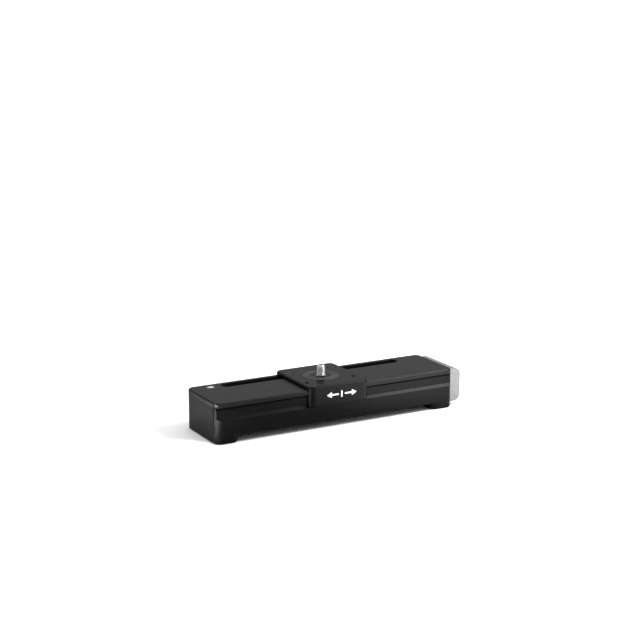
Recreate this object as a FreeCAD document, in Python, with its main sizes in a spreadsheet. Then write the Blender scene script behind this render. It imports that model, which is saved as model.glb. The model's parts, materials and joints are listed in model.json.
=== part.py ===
import FreeCAD, Part

"""Compact motorised camera slider, as a parametric document.

Frame: X along the rail, Y from the front face to the back, Z up. The origin is the centre of
the tripod socket, on the underside of the rail, so the feet reach below Z = 0.
The carriage stands a little left of mid travel. Lengths are in millimetres.
"""

import os
import re

import Sketcher

doc = FreeCAD.newDocument("CameraSlider")
sheet = doc.addObject("Spreadsheet::Sheet", "Dims")

DIMENSIONS = {
    # rail, lid and end caps
    "rail_length": 306,
    "rail_width": 78,
    "corner_radius": 8,
    "cap_thick": 10,
    "wall": 3,
    "ledge_even": 0.414,
    "ledge_low": 18.5,
    "band_inset": 3,
    "band_top": 30.7,
    "lid_low": 33.5,
    "lid_top": 38.5,
    "lid_inset": 0.4,
    "groove_depth": 4.5,
    "edge_round": 1,
    "lid_bevel": 1.2,
    "slot_length": 230,
    "slot_width": 13.6,
    "slot_shift": 26,
    # feet
    "foot_drop": 8,
    "foot_length": 28.5,
    "foot_skin": 1,
    "pad_thick": 2.5,
    "pad_inset": 1.5,
    # carriage
    "carriage_shift": -2,
    "plate_shift": 0.5,
    "carriage_length": 76,
    "carriage_proud": 4.1,
    "carriage_radius": 7.2,
    "carriage_bevel": 1.5,
    "carriage_top": 42.4,
    "plate_low": 39.1,
    "apron_low": 20,
    "apron_gap": 0.3,
    "hook_gap": 0.4,
    "seam": 0.05,
    "glide_thick": 0.5,
    # truck and guide rods
    "rod_radius": 4,
    "rod_spread": 24.5,
    "axle_height": 18.5,
    "truck_length": 72,
    "truck_width": 65,
    "truck_low": 9.6,
    "truck_top": 30.5,
    "neck_length": 68,
    "neck_width": 12.6,
    "bearing_radius": 7.5,
    "bearing_length": 24,
    "bearing_spread": 20,
    "run_gap": 0.05,
    "tunnel_low": 10.5,
    "tunnel_near": 5,
    "tunnel_far": 16.3,
    # camera screw and tripod sockets
    "stud_radius": 4.7625,
    "stud_height": 12,
    "stud_flange": 11,
    "stud_collar": 5.5,
    "ring_inner": 12,
    "ring_outer": 21,
    "socket_large": 3.97,
    "socket_small": 2.55,
    "socket_spread": 20,
    "tripod_plate_top": 8,
    # belt drive
    "pulley_reach": 128.5,
    "belt_middle": 12,
    "belt_width": 6,
    "belt_inner": 5.75,
    "belt_outer": 7.15,
    "flange_radius": 8,
    "shaft_radius": 2.5,
    "motor_side": 26,
    "motor_near": -16.5,
    "motor_far": 3,
    "idler_axle_radius": 2,
    "idler_bore": 4.53,
    # power button
    "button_reach": 129,
    "button_length": 8.4,
    "button_width": 6.4,
    "button_gap": 0.08,
    "button_proud": 0.4,
    # grey end module
    "module_depth": 14.1,
    "module_low": -2.8,
    "module_top": 37,
    "module_width": 66,
    "module_skin": 2,
    "module_round": 8,
    "usb_out": 3.9,
    "usb_height": 16.6,
    "usb_thick": 3.2,
    "usb_tall": 9,
    "usb_depth": 7.4,
    "usb_wall": 0.3,
    "usb_gap": 0.1,
    # fasteners
    "screw_radius": 1.5,
    "head_radius": 2.9,
    "head_sunk": 0.1,
    "small_screw": 1,
    "pin_radius": 0.8,
}

ORIGIN = ("0", "0", "0")
PARTS = []


def fill_sheet():
    for row, (alias, number) in enumerate(DIMENSIONS.items(), start=1):
        sheet.set(f"A{row}", alias)
        sheet.set(f"B{row}", str(number))
        sheet.setAlias(f"B{row}", alias)
    doc.recompute()


def dims(text):
    """Turn a formula of plain dimension names into one that reads the sheet."""
    return re.sub(r"[a-z_]+", lambda word: "Dims." + word.group() if word.group() in DIMENSIONS
                  else word.group(), str(text))


def value(name):
    return float(sheet.get(name))


def place(item, at, rotation=None):
    if rotation is not None:
        item.Placement = FreeCAD.Placement(FreeCAD.Vector(), rotation)
    for axis, formula in zip("xyz", at):
        item.setExpression(f".Placement.Base.{axis}", dims(formula))
    return item


# A turn that lays the local Z axis along X or along Y
ALONG = {
    "X": FreeCAD.Rotation(FreeCAD.Vector(0, 1, 0), 90),
    "Y": FreeCAD.Rotation(FreeCAD.Vector(1, 0, 0), -90),
    "Z": FreeCAD.Rotation(),
}


def block(low, high):
    """Box between two corners, each three formulas."""
    item = doc.addObject("Part::Box", "Block")
    for size, start, end in zip(("Length", "Width", "Height"), low, high):
        item.setExpression(size, dims(f"({end}) - ({start})"))
    return place(item, low)


def rod(axis, radius, length, start):
    """Cylinder that starts at a centre and runs along a positive axis."""
    item = doc.addObject("Part::Cylinder", "Rod")
    item.setExpression("Radius", dims(radius))
    item.setExpression("Height", dims(length))
    return place(item, start, ALONG[axis])


def cone(radius_low, radius_high, length, start):
    """Upright cone, as the countersink of a screw."""
    item = doc.addObject("Part::Cone", "Cone")
    item.setExpression("Radius1", dims(radius_low))
    item.setExpression("Radius2", dims(radius_high))
    item.setExpression("Height", dims(length))
    return place(item, start)


def join(*items):
    if len(items) == 1:
        return items[0]
    item = doc.addObject("Part::MultiFuse", "Join")
    item.Shapes = list(items)
    item.Refine = True
    return item


def cut(base, *tools):
    item = doc.addObject("Part::Cut", "Cut")
    item.Base = base
    item.Tool = join(*tools)
    return item


def common(base, tool):
    item = doc.addObject("Part::Common", "Common")
    item.Base = base
    item.Tool = tool
    return item


def group(*items):
    """Separate solids that share one node, such as a set of identical screws."""
    item = doc.addObject("Part::Compound", "Group")
    item.Links = list(items)
    return item


def ease(base, radius, wanted, kind="Part::Fillet"):
    """Round or chamfer the edges of a shape that a test picks out."""
    doc.recompute()
    item = doc.addObject(kind, "Ease")
    item.Base = base
    size = value(radius) if isinstance(radius, str) else radius
    item.Edges = [(number, size, size) for number, edge in enumerate(base.Shape.Edges, start=1)
                  if wanted(edge)]
    base.Visibility = False
    return item


def label(name, item):
    item.Label = name
    PARTS.append(item)
    return item


# ---- sketched bodies ----

def plane_of(body, role):
    return next(plane for plane in body.Origin.OriginFeatures if plane.Role == role)


def polygon(body, role, points, offset="0"):
    """Closed sketch whose corners are bound to formulas."""
    sketch = body.newObject("Sketcher::SketchObject", "Outline")
    sketch.AttachmentSupport = [(plane_of(body, role), "")]
    sketch.MapMode = "FlatFace"
    sketch.setExpression("AttachmentOffset.Base.z", dims(offset))
    probe = doc.addObject("App::FeaturePython", "Probe")
    probe.addProperty("App::PropertyFloat", "Reading")
    corners = []
    for point in points:
        numbers = []
        for formula in point:
            probe.setExpression("Reading", dims(formula))
            probe.recompute()
            numbers.append(probe.Reading)
        corners.append(FreeCAD.Vector(*numbers, 0))
    doc.removeObject(probe.Name)
    count = len(corners)
    for index, corner in enumerate(corners):
        sketch.addGeometry(Part.LineSegment(corner, corners[(index + 1) % count]), False)
    for index in range(count):
        sketch.addConstraint(Sketcher.Constraint("Coincident", index, 2, (index + 1) % count, 1))
    for index, (corner, point) in enumerate(zip(corners, points)):
        for kind, number, formula in zip(("DistanceX", "DistanceY"), (corner.x, corner.y), point):
            bound = sketch.addConstraint(Sketcher.Constraint(kind, -1, 1, index, 1, number))
            sketch.setExpression(f"Constraints[{bound}]", dims(formula))
    return sketch


def pad(body, sketch, length, midplane=False):
    feature = body.newObject("PartDesign::Pad", "Pad")
    feature.Profile = sketch
    feature.setExpression("Length", dims(length))
    feature.Midplane = midplane
    doc.recompute()
    return feature


def round_edges(body, radius, wanted, kind="Fillet", measure="Radius"):
    """Fillet of a body's tip, with its radius bound to a formula."""
    doc.recompute()
    tip = body.Tip
    names = [f"Edge{number}" for number, edge in enumerate(tip.Shape.Edges, start=1) if wanted(edge)]
    feature = body.newObject(f"PartDesign::{kind}", kind)
    feature.Base = (tip, names)
    feature.setExpression(measure, dims(radius))
    doc.recompute()
    return feature


def bevel_edges(body, size, wanted):
    """Chamfer of a body's tip at 45 degrees, with its size bound to a formula."""
    return round_edges(body, size, wanted, "Chamfer", "Size")


def slab(length, width, radius, low, high, shift="0"):
    """Upright plate with a rounded rectangular outline, centred on X = shift."""
    body = doc.addObject("PartDesign::Body", "Slab")
    corners = [(f"{shift} + ({along}) / 2", f"({across}) / 2")
               for along, across in ((f"-({length})", f"-({width})"), (length, f"-({width})"),
                                     (length, width), (f"-({length})", width))]
    sketch = polygon(body, "XY_Plane", corners, low)
    pad(body, sketch, f"({high}) - ({low})")
    round_edges(body, radius, is_upright)
    return body


def turned(profile):
    """Solid of revolution about Z from (radius, height) corners."""
    body = doc.addObject("PartDesign::Body", "Turned")
    sketch = polygon(body, "XZ_Plane", profile)
    feature = body.newObject("PartDesign::Revolution", "Revolution")
    feature.Profile = sketch
    feature.ReferenceAxis = (sketch, ["V_Axis"])
    feature.Angle = 360
    doc.recompute()
    return body


def profile_bar(points, start, length):
    """Bar along X with a cross-section given in Y and Z."""
    body = doc.addObject("PartDesign::Body", "Bar")
    pad(body, polygon(body, "YZ_Plane", points, start), length)
    return body


# ---- edge tests ----

def direction(edge):
    return edge.tangentAt(edge.FirstParameter)


def is_upright(edge):
    return edge.Curve.TypeId == "Part::GeomLine" and abs(direction(edge).z) > 0.99


def runs_across(edge):
    return abs(direction(edge).y) > 0.99


def lies_at(height):
    def test(edge):
        box = edge.BoundBox
        return abs(box.ZMin - height) < 0.01 and abs(box.ZMax - height) < 0.01
    return test


# ---- rail, lid, end caps and feet ----

# Corners of the back wall, up its outside, as (Y, Z): lower band, sloping ledge, upper band, groove
WALL_OUTSIDE = [
    ("rail_width / 2", "0"),
    ("rail_width / 2", "ledge_low"),
    ("rail_width / 2 - band_inset", "ledge_low + band_inset"),
    ("rail_width / 2 - band_inset", "band_top"),
    ("rail_width / 2 - groove_depth", "band_top"),
    ("rail_width / 2 - groove_depth", "lid_low"),
]
# The same wall down its inside, from the lid to the floor
WALL_INSIDE = [
    ("rail_width / 2 - band_inset - wall", "lid_low"),
    ("rail_width / 2 - band_inset - wall", "ledge_low + band_inset - wall * ledge_even"),
    ("rail_width / 2 - wall", "ledge_low - wall * ledge_even"),
    ("rail_width / 2 - wall", "wall"),
]


def mirrored(points):
    return [(f"-({across})", height) for across, height in reversed(points)]


def rail_body():
    """Open channel with two stepped walls, which the lid rests on."""
    half = WALL_OUTSIDE + WALL_INSIDE
    outline = half + mirrored(half)
    span = "rail_length - 2 * cap_thick"
    body = profile_bar(outline, f"-({span}) / 2", span)
    sockets = [rod("Z", "8.1", "wall + 2", ("0", "0", "-1"))]
    for side in ("-1", "1"):
        sockets.append(rod("Z", "5.1", "wall + 2", (f"{side} * socket_spread", "0", "-1")))
    screws = [rod("Z", "screw_radius", "wall + 2", (along, across, "-1"))
              for along, across in FLOOR_SCREWS]
    sinks = [cone("head_radius + head_sunk", "screw_radius", "head_radius + head_sunk - screw_radius",
                  (along, across, "0")) for along, across in FLOOR_SCREWS]
    feet = [rod("Z", "screw_radius", "wall + 2", (along, across, "-1")) for along, across in FOOT_SCREWS]
    base = ease(body, 0.3, lambda edge: abs(edge.BoundBox.ZMax) < 0.01
                and edge.BoundBox.XLength > 100)
    return label("rail_body", cut(base, *sockets, *screws, *sinks, *feet))


def grid(columns, rows):
    return [(column, row) for column in columns for row in rows]


# Countersunk screws through the rail's floor hold the tripod plate, the motor and the idler
FLOOR_SCREWS = grid(("-28", "28"), ("-24", "24")) + grid(("-133", "-124"), ("8.5", "17.5")) \
    + grid(("120", "137"), ("8.5",))
# Screws that rise through each foot into the rail's floor
FOOT_SCREWS = grid(("-134", "134"), ("-27", "27"))
# Long screws that rise through each end cap into the lid
LID_SCREWS = grid(("-148", "148"), ("-15", "15"))


def top_plate():
    """Lid over the rail, with the carriage's slot along its back and the button's window."""
    outline = slab("rail_length", "rail_width - 2 * lid_inset", "corner_radius - lid_inset",
                   "lid_low", "lid_top")
    bevel_edges(outline, "lid_bevel", lies_at(value("lid_top")))
    reach = "(slot_length - slot_width) / 2"
    slot = [block((f"-{reach}", "slot_shift - slot_width / 2", "lid_low - 1"),
                  (reach, "slot_shift + slot_width / 2", "lid_top + 1"))]
    for side in ("-1", "1"):
        slot.append(rod("Z", "slot_width / 2", "lid_top - lid_low + 2",
                        (f"{side} * {reach}", "slot_shift", "lid_low - 1")))
    window = button_block("button_gap", "lid_low - 1", "lid_top + 1")
    holes = [rod("Z", "screw_radius", "3.5", (along, across, "lid_low - 1"))
             for along, across in LID_SCREWS]
    plate = cut(outline, join(*slot), window, *holes)
    rim = lies_at(value("lid_top"))
    back = value("slot_shift") - value("slot_width") / 2 - 0.1
    inside = value("slot_length") / 2 + 0.1
    eased = ease(plate, 0.4, lambda edge: rim(edge) and edge.BoundBox.YMin > back
                 and abs(edge.BoundBox.Center.x) < inside and edge.BoundBox.YMax < 33,
                 "Part::Chamfer")
    return label("top_plate", eased)


def button_block(gap, low, high):
    """Rounded block on the power button's axis, larger than the button by a gap."""
    along = f"(button_length / 2 + {gap})"
    across = f"(button_width / 2 + {gap})"
    item = block((f"-button_reach - {along}", f"slot_shift - {across}", low),
                 (f"-button_reach + {along}", f"slot_shift + {across}", high))
    return ease(item, 2, is_upright)


def cap_section():
    """Full cross-section of an end cap above the rail's underside."""
    return WALL_OUTSIDE + mirrored(WALL_OUTSIDE)


def end_cap(name, side):
    """End block: closes the rail, seats the guide rods and reaches down as a foot."""
    inner = "rail_length / 2 - cap_thick"
    start = inner if side > 0 else f"-({inner}) - cap_thick"
    upper = profile_bar(cap_section(), start, "cap_thick")
    outline = slab("rail_length", "rail_width", "corner_radius", "-foot_drop", "lid_top")
    body = common(upper, outline)
    foot = slab("foot_length", "rail_width", "corner_radius", "-foot_drop + foot_skin", "0",
                f"{side} * (rail_length - foot_length) / 2")
    pocket = pad_block(side, "-foot_drop", "-foot_drop + pad_thick")
    seats = []
    for across in ("-rod_spread", "rod_spread"):
        seat_start = inner if side > 0 else f"-({inner}) - 8"
        seats.append(rod("X", "rod_radius", "8", (seat_start, across, "axle_height")))
    near = [(along, across) for along, across in FOOT_SCREWS if float(along) * side > 0]
    sinks = [rod("Z", "screw_radius", "foot_drop + 1", (along, across, "-foot_drop"))
             for along, across in near]
    sinks += [rod("Z", "head_radius", "1.6", (along, across, "-foot_drop + pad_thick"))
              for along, across in near]
    far = [(along, across) for along, across in LID_SCREWS if float(along) * side > 0]
    wells = [rod("Z", "screw_radius + 0.1", "lid_low + foot_drop + 1", (along, across, "-foot_drop"))
             for along, across in far]
    wells += [rod("Z", "head_radius", "1.6", (along, across, "-foot_drop + pad_thick"))
              for along, across in far]
    return label(name, cut(join(body, foot), pocket, *seats, *sinks, *wells))


def pad_block(side, low, high):
    return slab("foot_length - 2 * pad_inset", "rail_width - 2 * pad_inset", "corner_radius - pad_inset",
                low, high, f"{side} * (rail_length - foot_length) / 2")


def foot_pad(name, side):
    body = pad_block(side, "-foot_drop", "-foot_drop + pad_thick")
    return label(name, body)


def pan_screw(along, across, head_low, length):
    """Cap screw that points up: a low round head with its shank above it."""
    head = rod("Z", "head_radius - 0.1", "1.5", (along, across, head_low))
    drive = rod("Z", "1.1", "0.9", (along, across, head_low))
    shank = rod("Z", "screw_radius", length, (along, across, f"{head_low} + 1.5"))
    return cut(join(head, shank), drive)


def foot_screws():
    low = "-foot_drop + pad_thick"
    return label("foot_screws", group(*[pan_screw(along, across, low, "foot_drop - 1")
                                        for along, across in FOOT_SCREWS]))


def lid_screws():
    low = "-foot_drop + pad_thick"
    reach = "lid_low + foot_drop - pad_thick + 0.8"
    return label("lid_screws", group(*[pan_screw(along, across, low, reach) for along, across in LID_SCREWS]))


def floor_screws():
    """Countersunk screws, flush with the underside."""
    screws = []
    for along, across in FLOOR_SCREWS:
        head = cone("head_radius", "screw_radius", "head_radius - screw_radius", (along, across, "head_sunk"))
        shank = rod("Z", "screw_radius", "5.5", (along, across, "0.4"))
        recess = rod("Z", "1", "0.9", (along, across, "0"))
        screws.append(cut(join(head, shank), recess))
    return label("floor_screws", group(*screws))


# ---- tripod sockets ----

def tripod_plate():
    plate = ease(block(("-34", "-29", "wall"), ("34", "29", "tripod_plate_top")), 3, is_upright)
    holes = [rod("Z", "8", "10", ("0", "0", "0"))]
    for side in ("-1", "1"):
        holes.append(rod("Z", "5", "10", (f"{side} * socket_spread", "0", "0")))
    holes += [rod("Z", "screw_radius", "3.2", (along, across, "wall - 0.1"))
              for along, across in FLOOR_SCREWS[:4]]
    return label("tripod_plate", cut(plate, *holes))


def tripod_bush_center():
    bush = rod("Z", "8", "tripod_plate_top", ORIGIN)
    bore = rod("Z", "socket_large", "12", ("0", "0", "-1"))
    return label("tripod_bush_center", cut(bush, bore))


def tripod_bush_sides():
    bushes = []
    for side in ("-1", "1"):
        along = f"{side} * socket_spread"
        bush = rod("Z", "5", "tripod_plate_top", (along, "0", "0"))
        bushes.append(cut(bush, rod("Z", "socket_small", "12", (along, "0", "-1"))))
    return label("tripod_bush_sides", group(*bushes))


# ---- guide rods and carriage ----

def guide_rod(name, across):
    reach = "rail_length / 2 - cap_thick + 8"
    return label(name, rod("X", "rod_radius", f"2 * ({reach})", (f"-({reach})", across, "axle_height")))


def carriage_outline():
    body = slab("carriage_length", "rail_width + 2 * carriage_proud", "carriage_radius",
                "apron_low", "carriage_top", "carriage_shift + plate_shift")
    bevel_edges(body, "carriage_bevel", lies_at(value("carriage_top")))
    return body


# Screws from the plate into the neck, from the neck into the truck, and pins into the aprons
PLATE_SCREWS = grid(("-30", "-12", "8", "26"), ("slot_shift",))
NECK_SCREWS = grid(("-21", "-2", "17"), ("slot_shift",))
PIN_ROW = ("-32", "-13", "9", "28")


def pins(side):
    """Row of cross pins between the plate's edge and one apron."""
    start = "rail_width / 2 - 4.5" if side > 0 else "-(rail_width / 2 - 4.5) - 7"
    return [rod("Y", "pin_radius", "7", (along, start, "(plate_low + carriage_top) / 2"))
            for along in PIN_ROW]


# Depth of a countersink
SINK = "head_radius + head_sunk - screw_radius"


def carriage_plate():
    """Top of the carriage, between its two aprons."""
    edge = "rail_width / 2 - lid_inset + apron_gap - seam"
    slab_block = block(("carriage_shift - carriage_length", f"-({edge})", "plate_low"),
                       ("carriage_shift + carriage_length", edge, "carriage_top + 1"))
    plate = common(carriage_outline(), slab_block)
    stud_hole = rod("Z", "stud_flange", "2", ("carriage_shift", "0", "plate_low - 0.1"))
    stud_neck = rod("Z", "stud_collar", "6", ("carriage_shift", "0", "plate_low - 0.5"))
    ring = rod("Z", "ring_outer", "2", ("carriage_shift", "0", "carriage_top - 0.6"))
    land = rod("Z", "ring_inner", "4", ("carriage_shift", "0", "carriage_top - 1"))
    holes = []
    for along, across in PLATE_SCREWS:
        holes.append(rod("Z", "screw_radius", "6", (along, across, "plate_low - 1")))
        holes.append(cone("screw_radius", "head_radius + head_sunk", SINK,
                          (along, across, f"carriage_top - ({SINK})")))
    for side in ("-1", "1"):
        holes.append(rod("Z", "socket_small", "6", (f"carriage_shift + {side} * 30", "-22", "plate_low - 1")))
    return label("carriage_plate", cut(plate, stud_hole, stud_neck, cut(ring, land), *holes,
                                       *pins(-1), *pins(1)))


def apron(name, side):
    """Side wall of the carriage: passes the lid's edge and hooks in under it."""
    lip = "rail_width / 2 - lid_inset + apron_gap"
    inner = "rail_width / 2 - band_inset + hook_gap"
    section = [
        ("rail_width / 2 + carriage_proud + 1", "apron_low"),
        ("rail_width / 2 + carriage_proud + 1", "carriage_top + 1"),
        (lip, "carriage_top + 1"),
        (lip, "lid_low - hook_gap"),
        (inner, "lid_low - hook_gap"),
        (inner, "ledge_low + band_inset + 0.2"),
        (f"{inner} + (ledge_low + band_inset + 0.2 - apron_low)", "apron_low"),
    ]
    points = section if side > 0 else mirrored(section)
    bar = profile_bar(points, "carriage_shift - carriage_length", "2 * carriage_length")
    return label(name, cut(common(carriage_outline(), bar), *pins(side)))


def apron_pins():
    return label("apron_pins", group(*pins(-1), *pins(1)))


def carriage_neck():
    """Bridge through the slot, from the truck up to the plate."""
    reach = "(neck_length - neck_width) / 2"
    middle = block((f"carriage_shift - {reach}", "slot_shift - neck_width / 2", "truck_top"),
                   (f"carriage_shift + {reach}", "slot_shift + neck_width / 2", "plate_low"))
    ends = [rod("Z", "neck_width / 2", "plate_low - truck_top",
                (f"carriage_shift + {side} * {reach}", "slot_shift", "truck_top")) for side in ("-1", "1")]
    holes = [rod("Z", "screw_radius", "plate_low - truck_top + 1", (along, across, "truck_top - 0.5"))
             for along, across in PLATE_SCREWS + NECK_SCREWS]
    holes += [rod("Z", "head_radius", "3", (along, across, "plate_low - 2.5"))
              for along, across in NECK_SCREWS]
    return label("carriage_neck", cut(join(middle, *ends), *holes))


def neck_screws():
    """Cap screws that hold the neck down on the truck, hidden under the plate."""
    screws = []
    for along, across in NECK_SCREWS:
        head = rod("Z", "head_radius - 0.1", "2.3", (along, across, "plate_low - 2.5"))
        shank = rod("Z", "screw_radius", "plate_low - truck_top + 1.5", (along, across, "truck_top - 4"))
        drive = rod("Z", "1.1", "1.4", (along, across, "plate_low - 1.5"))
        screws.append(cut(join(head, shank), drive))
    return label("neck_screws", group(*screws))


def plate_screws():
    screws = []
    for along, across in PLATE_SCREWS:
        head = cone("screw_radius", "head_radius", "head_radius - screw_radius",
                    (along, across, f"carriage_top - ({SINK})"))
        shank = rod("Z", "screw_radius", "9", (along, across, f"carriage_top - ({SINK}) - 8.9"))
        drive = rod("Z", "1.1", "1", (along, across, "carriage_top - 1"))
        screws.append(cut(join(head, shank), drive))
    return label("plate_screws", group(*screws))


def truck_block():
    """Block inside the rail that carries the bearings and grips the belt."""
    low = ("carriage_shift - truck_length / 2", "-truck_width / 2", "truck_low")
    high = ("carriage_shift + truck_length / 2", "truck_width / 2", "truck_top")
    body = ease(block(low, high), 1.5, is_upright)
    tools = [rod("X", "bearing_radius", "truck_length + 4",
                 ("carriage_shift - truck_length / 2 - 2", across, "axle_height"))
             for across in ("-rod_spread", "rod_spread")]
    tools.append(block(("carriage_shift - truck_length", "tunnel_near", "tunnel_low"),
                       ("carriage_shift + truck_length", "tunnel_far", "truck_top + 1")))
    tools.append(block(("carriage_shift - 24", "-12", "truck_top - 10"),
                       ("carriage_shift + 24", "2", "truck_top + 1")))
    tools += [rod("Z", "screw_radius", "5", (along, across, "truck_top - 4"))
              for along, across in NECK_SCREWS]
    return label("truck_block", cut(body, *tools))


def linear_bearing(number, along, across):
    start = f"carriage_shift + ({along}) - bearing_length / 2"
    sleeve = rod("X", "bearing_radius", "bearing_length", (start, across, "axle_height"))
    bore = rod("X", "rod_radius + run_gap", "bearing_length + 2", (f"{start} - 1", across, "axle_height"))
    return label(f"linear_bearing_{number}", cut(sleeve, bore))


def clamp_screws():
    """Two upright screws beside the belt, from the clamp's cap into its base."""
    return [rod("Z", "small_screw", "truck_top - axle_height - 2.5",
                (f"carriage_shift + {along}", "tunnel_near + 2", "axle_height + 2.5"))
            for along in ("-8", "8")]


def belt_clamp_base():
    """Block under the upper run of the belt, bedded in the truck's channel."""
    low = ("carriage_shift - 12", "tunnel_near", "axle_height + 1.5")
    high = ("carriage_shift + 12", "tunnel_far", "axle_height + belt_inner - run_gap")
    return label("belt_clamp_base", cut(block(low, high), *clamp_screws()))


def belt_clamp_cap():
    low = ("carriage_shift - 12", "tunnel_near", "axle_height + belt_outer + run_gap")
    high = ("carriage_shift + 12", "tunnel_far", "truck_top")
    return label("belt_clamp_cap", cut(block(low, high), *clamp_screws()))


def camera_stud():
    """Stud for the camera or head, with a collar and a round flange held under the plate."""
    profile = [
        ("0", "plate_low"), ("stud_flange - seam", "plate_low"),
        ("stud_flange - seam", "plate_low + 1.85"), ("stud_collar - seam", "plate_low + 1.85"),
        ("stud_collar - seam", "carriage_top"), ("stud_radius", "carriage_top"),
        ("stud_radius", "carriage_top + stud_height - 1"),
        ("stud_radius - 1", "carriage_top + stud_height"), ("0", "carriage_top + stud_height"),
    ]
    return label("camera_stud", place(turned(profile), ("carriage_shift", "0", "0")))


def camera_pad():
    """Ring of rubber that keeps the camera base from turning."""
    near = "ring_inner + seam"
    far = "ring_outer - seam"
    profile = [(near, "carriage_top - 0.6"), (far, "carriage_top - 0.6"),
               (far, "carriage_top + 0.2"), (near, "carriage_top + 0.2")]
    return label("camera_pad", place(turned(profile), ("carriage_shift", "0", "0")))


def glide_pads():
    """Slippery strips under the plate, front and back."""
    pads = []
    for along in ("-30", "4"):
        for low, high in (("-36", "-30"), ("12", "17")):
            pads.append(block((along, low, "plate_low - glide_thick"), (f"{along} + 22", high, "plate_low")))
    return label("glide_pads", group(*pads))


# ---- belt drive ----

def pulley_profile(bore):
    """Toothed pulley between two flanges, about Z, centred on its height."""
    half = "belt_width / 2 + 0.3"
    tooth = "belt_inner - run_gap"
    rim = f"{half} + 1"
    return [
        (bore, f"-({rim})"), ("flange_radius", f"-({rim})"), ("flange_radius", f"-({half})"),
        (tooth, f"-({half})"), (tooth, half), ("flange_radius", half), ("flange_radius", rim), (bore, rim),
    ]


def on_pulley_axis(item, side, across="belt_middle"):
    return place(item, (f"{side} * pulley_reach", across, "axle_height"), ALONG["Y"])


def drive_pulley():
    return label("drive_pulley", on_pulley_axis(turned(pulley_profile("shaft_radius")), 1))


def idler_pulley():
    return label("idler_pulley", on_pulley_axis(turned(pulley_profile("idler_bore")), -1))


def stadium(radius, near, depth):
    """Bar across Y whose outline wraps both pulley axes."""
    reach = "pulley_reach"
    middle = block((f"-{reach}", near, f"axle_height - ({radius})"),
                   (reach, f"{near} + {depth}", f"axle_height + ({radius})"))
    ends = [rod("Y", radius, depth, (f"{side} * {reach}", near, "axle_height")) for side in ("-1", "1")]
    return join(middle, *ends)


def timing_belt():
    outer = stadium("belt_outer", "belt_middle - belt_width / 2", "belt_width")
    inner = stadium("belt_inner", "belt_middle - belt_width / 2 - 1", "belt_width + 2")
    return label("timing_belt", cut(outer, inner))


# Rounding of the motor's square body, and the outer radius of its small ball bearings
MOTOR_ROUND = 3.5
BEARING_OUTER = "4.5"


def motor_can():
    """Square motor body on its side, hollow for the rotor."""
    half = "motor_side / 2"
    body = block((f"pulley_reach - {half}", "motor_near", f"axle_height - {half}"),
                 (f"pulley_reach + {half}", "motor_far", f"axle_height + {half}"))
    can = ease(body, MOTOR_ROUND, runs_across)
    bore = rod("Y", "9", "motor_far - motor_near - 4", ("pulley_reach", "motor_near - 1", "axle_height"))
    nose = rod("Y", BEARING_OUTER, "8", ("pulley_reach", "motor_far - 6", "axle_height"))
    return label("motor_can", cut(can, bore, nose))


def motor_end_bell():
    half = "motor_side / 2"
    body = block((f"pulley_reach - {half}", "motor_near - 3", f"axle_height - {half}"),
                 (f"pulley_reach + {half}", "motor_near", f"axle_height + {half}"))
    bell = ease(body, MOTOR_ROUND, runs_across)
    hole = rod("Y", BEARING_OUTER, "6", ("pulley_reach", "motor_near - 4", "axle_height"))
    return label("motor_end_bell", cut(bell, hole))


def motor_bearings():
    """Two ball bearings, one in the end bell and one in the can's nose."""
    rings = []
    for near, depth in (("motor_near - 3", "3"), ("motor_far - 3", "3")):
        outer = rod("Y", BEARING_OUTER, depth, ("pulley_reach", near, "axle_height"))
        inner = rod("Y", "shaft_radius + run_gap", "6", ("pulley_reach", f"{near} - 1", "axle_height"))
        rings.append(cut(outer, inner))
    return label("motor_bearings", group(*rings))


def motor_rotor():
    core = rod("Y", "8.6", "13", ("pulley_reach", "motor_near + 1", "axle_height"))
    bore = rod("Y", "shaft_radius", "20", ("pulley_reach", "motor_near", "axle_height"))
    return label("motor_rotor", cut(core, bore))


def motor_shaft():
    return label("motor_shaft", rod("Y", "shaft_radius", "36.5", ("pulley_reach", "-19", "axle_height")))


def motor_bracket():
    """Upright plate that the motor is bolted to, on a foot along the rail's floor."""
    wall = block(("115.5", "motor_far", "wall"), ("141.5", "motor_far + 2", "31"))
    foot = block(("115.5", "motor_far", "wall"), ("141.5", "18.5", "wall + 2"))
    nose = rod("Y", BEARING_OUTER, "6", ("pulley_reach", "motor_far - 1", "axle_height"))
    screws = [rod("Z", "screw_radius", "4", (along, across, "wall - 1"))
              for along, across in FLOOR_SCREWS[-2:]]
    return label("motor_bracket", cut(join(wall, foot), nose, *screws))


def idler_bracket():
    """Forked bracket for the idler, drawn outwards by the tension screw."""
    low = ("-137.5", "belt_middle - 7", "wall")
    high = ("-121", "belt_middle + 7", "27.5")
    body = block(low, high)
    fork = block(("-137.6", "belt_middle - 4.5", "wall + 2"), ("-120", "belt_middle + 4.5", "29"))
    axle = rod("Y", "idler_axle_radius", "16", ("-pulley_reach", "belt_middle - 8", "axle_height"))
    screws = [rod("Z", "screw_radius", "4", (along, across, "wall - 1"))
              for along, across in FLOOR_SCREWS[4:8]]
    post = block(("-140.5", "belt_middle - 7", "wall"), ("-137.5", "belt_middle + 7", "12"))
    hole = rod("X", "screw_radius", "6", ("-142", "belt_middle", "8"))
    return label("idler_bracket", cut(join(cut(body, fork), post), axle, hole, *screws))


def idler_axle():
    return label("idler_axle", rod("Y", "idler_axle_radius", "14",
                                   ("-pulley_reach", "belt_middle - 7", "axle_height")))


def idler_bearings():
    rings = []
    for near in ("belt_middle - 4", "belt_middle + 1"):
        outer = rod("Y", BEARING_OUTER, "3", ("-pulley_reach", near, "axle_height"))
        inner = rod("Y", "idler_axle_radius", "6", ("-pulley_reach", f"{near} - 1", "axle_height"))
        rings.append(cut(outer, inner))
    return label("idler_bearings", group(*rings))


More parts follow.
